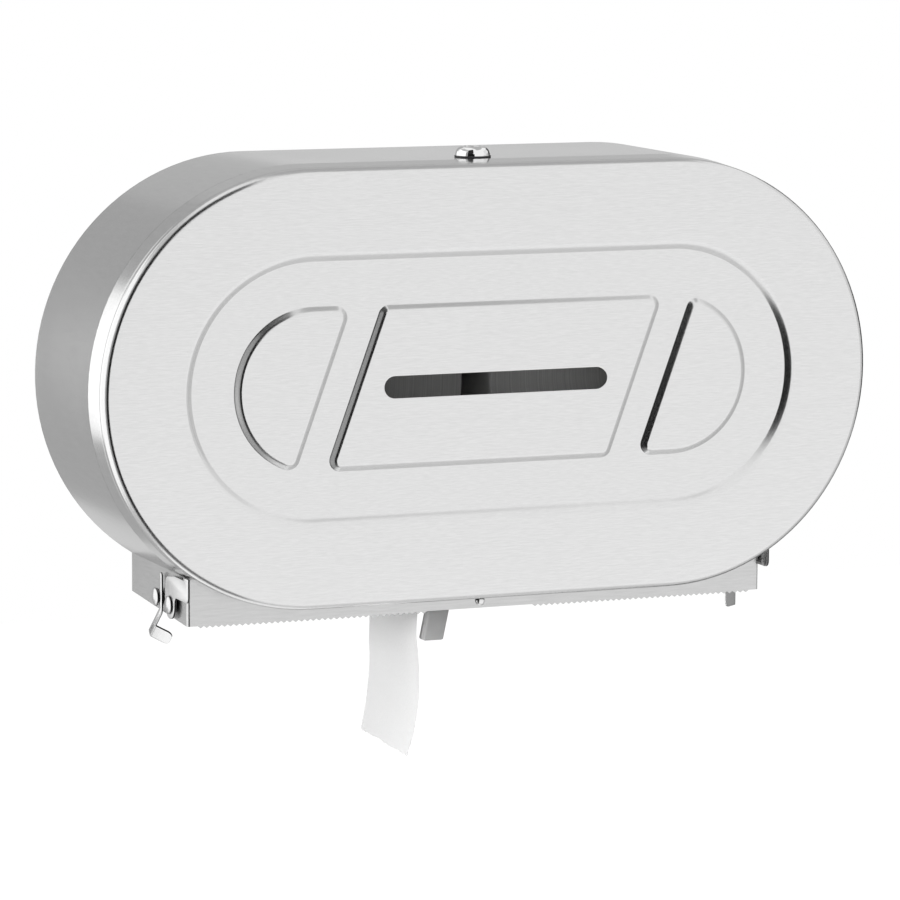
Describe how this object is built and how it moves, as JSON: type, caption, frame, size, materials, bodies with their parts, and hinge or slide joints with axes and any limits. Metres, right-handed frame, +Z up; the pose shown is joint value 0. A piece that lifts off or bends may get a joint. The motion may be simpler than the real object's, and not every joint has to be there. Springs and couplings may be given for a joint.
{
  "type": "twin jumbo toilet roll dispenser",
  "caption": "Wall-mounted stainless steel dispenser for jumbo toilet rolls, with a hinged racetrack cover, top lock, viewing slot, toothed tear edge, sliding shutter and stay levers.",
  "frame": {"origin": "on the wall, behind the centre of the racetrack outline", "axes": "+X to the right along the wall, +Y into the wall (out of the back plate's rear face), +Z up; the cover's front is at Y = -0.135"},
  "size_m": [0.5298, 0.135, 0.394],
  "materials": {
    "satin_steel": "satin, fine horizontal brushing",
    "bright_steel": "plain bright",
    "polished_chrome": "polished",
    "grey_plastic": "matt moulded",
    "dark_plastic": "matt moulded",
    "cardboard": "plain",
    "tissue": "soft, lightly embossed"
  },
  "bodies": {
    "case": {"back_plate": "satin_steel", "case_wall": "satin_steel", "tear_bracket": "satin_steel", "shutter_rail": "satin_steel", "guide_stud": "bright_steel", "stud_washer": "bright_steel", "hinge_pins": "bright_steel", "lever_pins": "bright_steel", "lock_body": "polished_chrome", "lock_nut": "bright_steel", "spindle_left": "bright_steel", "spindle_right": "bright_steel", "spindle_rivets": "bright_steel", "spindle_caps": "dark_plastic", "paper_tail": "tissue"},
    "front_cover": {"cover": "satin_steel", "cover_strike": "satin_steel", "hinge_arm_left": "satin_steel", "hinge_arm_right": "satin_steel"},
    "left_lever": {"lever_left": "bright_steel"},
    "right_lever": {"lever_right": "bright_steel"},
    "lock": {"lock_plug": "polished_chrome", "lock_cam": "bright_steel", "cam_screw": "bright_steel"},
    "sliding_shutter": {"shutter": "satin_steel", "shutter_grip": "grey_plastic"},
    "left_roll": {"hub_left": "dark_plastic", "core_left": "cardboard", "paper_roll_left": "tissue"},
    "right_roll": {"hub_right": "dark_plastic", "core_right": "cardboard", "paper_roll_right": "tissue"}
  },
  "joints": [
    {"name": "cover_hinge", "type": "hinge", "parent": "case", "child": "front_cover", "pos_m": [0, -0.0835, -0.1395], "axis": [1, 0, 0], "range_deg": [0, 60]},
    {"name": "lever_left_pivot", "type": "hinge", "parent": "case", "child": "left_lever", "pos_m": [-0.202, -0.057, -0.1385], "axis": [1, 0, 0], "range_deg": [-50, 0]},
    {"name": "lever_right_pivot", "type": "hinge", "parent": "case", "child": "right_lever", "pos_m": [0.202, -0.057, -0.1385], "axis": [1, 0, 0], "range_deg": [0, 50]},
    {"name": "lock_turn", "type": "hinge", "parent": "case", "child": "lock", "pos_m": [0, -0.093, 0.141], "axis": [0, 0, 1], "range_deg": [0, 90]},
    {"name": "shutter_slide", "type": "slide", "parent": "case", "child": "sliding_shutter", "axis": [1, 0, 0], "range_m": [-0.15, 0], "deforming": ["paper_tail"]},
    {"name": "roll_left_spin", "type": "hinge", "parent": "case", "child": "left_roll", "pos_m": [-0.124, -0.0565, 0], "axis": [0, 1, 0], "continuous": true},
    {"name": "roll_right_spin", "type": "hinge", "parent": "case", "child": "right_roll", "pos_m": [0.124, -0.0565, 0], "axis": [0, 1, 0], "continuous": true}
  ]
}
